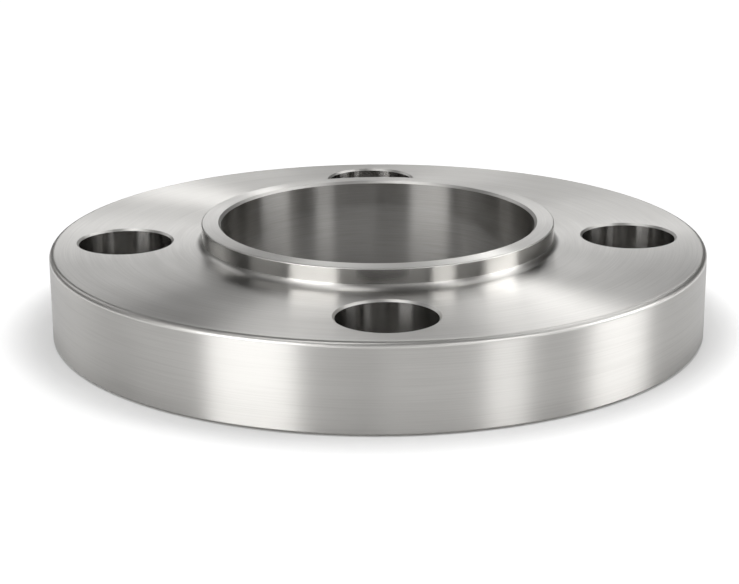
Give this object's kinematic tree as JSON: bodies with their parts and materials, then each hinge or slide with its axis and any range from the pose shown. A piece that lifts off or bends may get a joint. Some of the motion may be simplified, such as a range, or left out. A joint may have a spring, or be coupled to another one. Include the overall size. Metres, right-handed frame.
{
  "type": "hubbed slip-on pipe flange",
  "caption": "Round steel pipe flange with a short hub, an open central bore for a pipe, and a ring of bolt holes through a flat-faced rim.",
  "frame": {"origin": "centre of the bore on the plane of the gasket face, which is the underside", "axes": "+Z along the bore axis, from the gasket face towards the hub's end; +X and +Y each pass through a bolt hole"},
  "size_m": [0.127, 0.127, 0.0205],
  "materials": {
    "turned_steel": "bright turned stainless steel, fine circular tool marks"
  },
  "bodies": {
    "root": {"flange": "turned_steel"}
  },
  "joints": []
}
